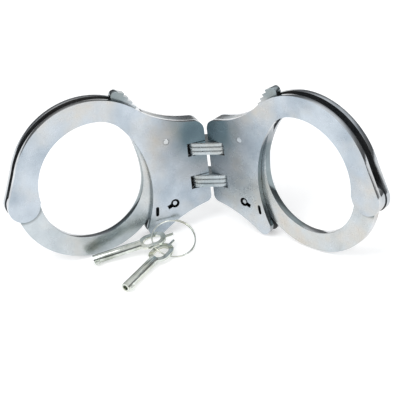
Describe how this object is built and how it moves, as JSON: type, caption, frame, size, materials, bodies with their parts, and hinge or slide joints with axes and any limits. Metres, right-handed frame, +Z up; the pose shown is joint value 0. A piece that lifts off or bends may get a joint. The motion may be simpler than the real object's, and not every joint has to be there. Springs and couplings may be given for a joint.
{
  "type": "hinged handcuffs",
  "caption": "Hinged double-lock handcuffs with swing-through ratchet strands, standing as an open V, and their keys on a wire ring.",
  "frame": {"origin": "on the table, below the line midway between the two hinge pins at the middle of the hinge, with the leaned stance removed", "axes": "+Z up, +X towards the right cuff, -Y towards the open side of the V"},
  "size_m": [0.1698, 0.0677, 0.0733],
  "materials": {
    "plate_nickel": "satin nickel plate with polished edges",
    "strand_nickel": "satin nickel plate with polished edges",
    "link_nickel": "satin nickel plate",
    "pin_nickel": "satin nickel plate",
    "lock_steel": "plain hardened steel",
    "key_nickel": "bright nickel plate"
  },
  "bodies": {
    "hinge_links": {"upper_link_top": "link_nickel", "upper_link_middle": "link_nickel", "upper_link_bottom": "link_nickel", "lower_link_top": "link_nickel", "lower_link_middle": "link_nickel", "lower_link_bottom": "link_nickel"},
    "left_case": {"left_front_plate": "plate_nickel", "left_back_plate": "plate_nickel", "left_lock_frame": "lock_steel", "left_strand_rivet": "pin_nickel", "left_case_rivets": "pin_nickel", "left_hinge_pin": "pin_nickel", "left_pawl_pin": "pin_nickel", "left_pawl_spring": "lock_steel", "left_double_lock_spring": "lock_steel", "left_key_post": "pin_nickel"},
    "left_strand": {"left_strand": "strand_nickel"},
    "left_pawl": {"left_pawl": "lock_steel"},
    "left_double_lock": {"left_double_lock_bar": "lock_steel"},
    "right_case": {"right_front_plate": "plate_nickel", "right_back_plate": "plate_nickel", "right_lock_frame": "lock_steel", "right_strand_rivet": "pin_nickel", "right_case_rivets": "pin_nickel", "right_hinge_pin": "pin_nickel", "right_pawl_pin": "pin_nickel", "right_pawl_spring": "lock_steel", "right_double_lock_spring": "lock_steel", "right_key_post": "pin_nickel"},
    "right_strand": {"right_strand": "strand_nickel"},
    "right_pawl": {"right_pawl": "lock_steel"},
    "right_double_lock": {"right_double_lock_bar": "lock_steel"},
    "keys": {"key_1": "key_nickel", "key_2": "key_nickel", "key_ring": "key_nickel"}
  },
  "joints": [
    {"name": "left_hinge", "type": "hinge", "parent": "hinge_links", "child": "left_case", "pos_m": [-0.0052, 0, 0.02766], "axis": [0, 0.1688, 0.9856], "range_deg": [-119.2, 60.8]},
    {"name": "left_strand_swing", "type": "hinge", "parent": "left_case", "child": "left_strand", "pos_m": [-0.07652, -0.03937, 0.0339], "axis": [0.4879, -0.8604, 0.1474], "continuous": true},
    {"name": "left_pawl_lift", "type": "hinge", "parent": "left_case", "child": "left_pawl", "pos_m": [-0.01821, -0.00475, 0.04298], "axis": [0.4879, -0.8604, 0.1474], "range_deg": [-4.5, 1.5]},
    {"name": "left_double_lock_slide", "type": "slide", "parent": "left_case", "child": "left_double_lock", "axis": [0, 0.1688, 0.9856], "range_m": [0, 0.002]},
    {"name": "right_hinge", "type": "hinge", "parent": "hinge_links", "child": "right_case", "pos_m": [0.0052, 0, 0.02766], "axis": [0, 0.1688, 0.9856], "range_deg": [-60.8, 119.2]},
    {"name": "right_strand_swing", "type": "hinge", "parent": "right_case", "child": "right_strand", "pos_m": [0.07652, -0.03937, 0.0339], "axis": [0.4879, 0.8604, -0.1474], "continuous": true},
    {"name": "right_pawl_lift", "type": "hinge", "parent": "right_case", "child": "right_pawl", "pos_m": [0.01821, -0.00475, 0.04298], "axis": [0.4879, 0.8604, -0.1474], "range_deg": [-4.5, 1.5]},
    {"name": "right_double_lock_slide", "type": "slide", "parent": "right_case", "child": "right_double_lock", "axis": [0, 0.1688, 0.9856], "range_m": [0, 0.002]},
    {"name": "keys_lift_off", "type": "slide", "parent": "left_case", "child": "keys", "axis": [0, 0, 1], "range_m": [0, 0.12]}
  ]
}
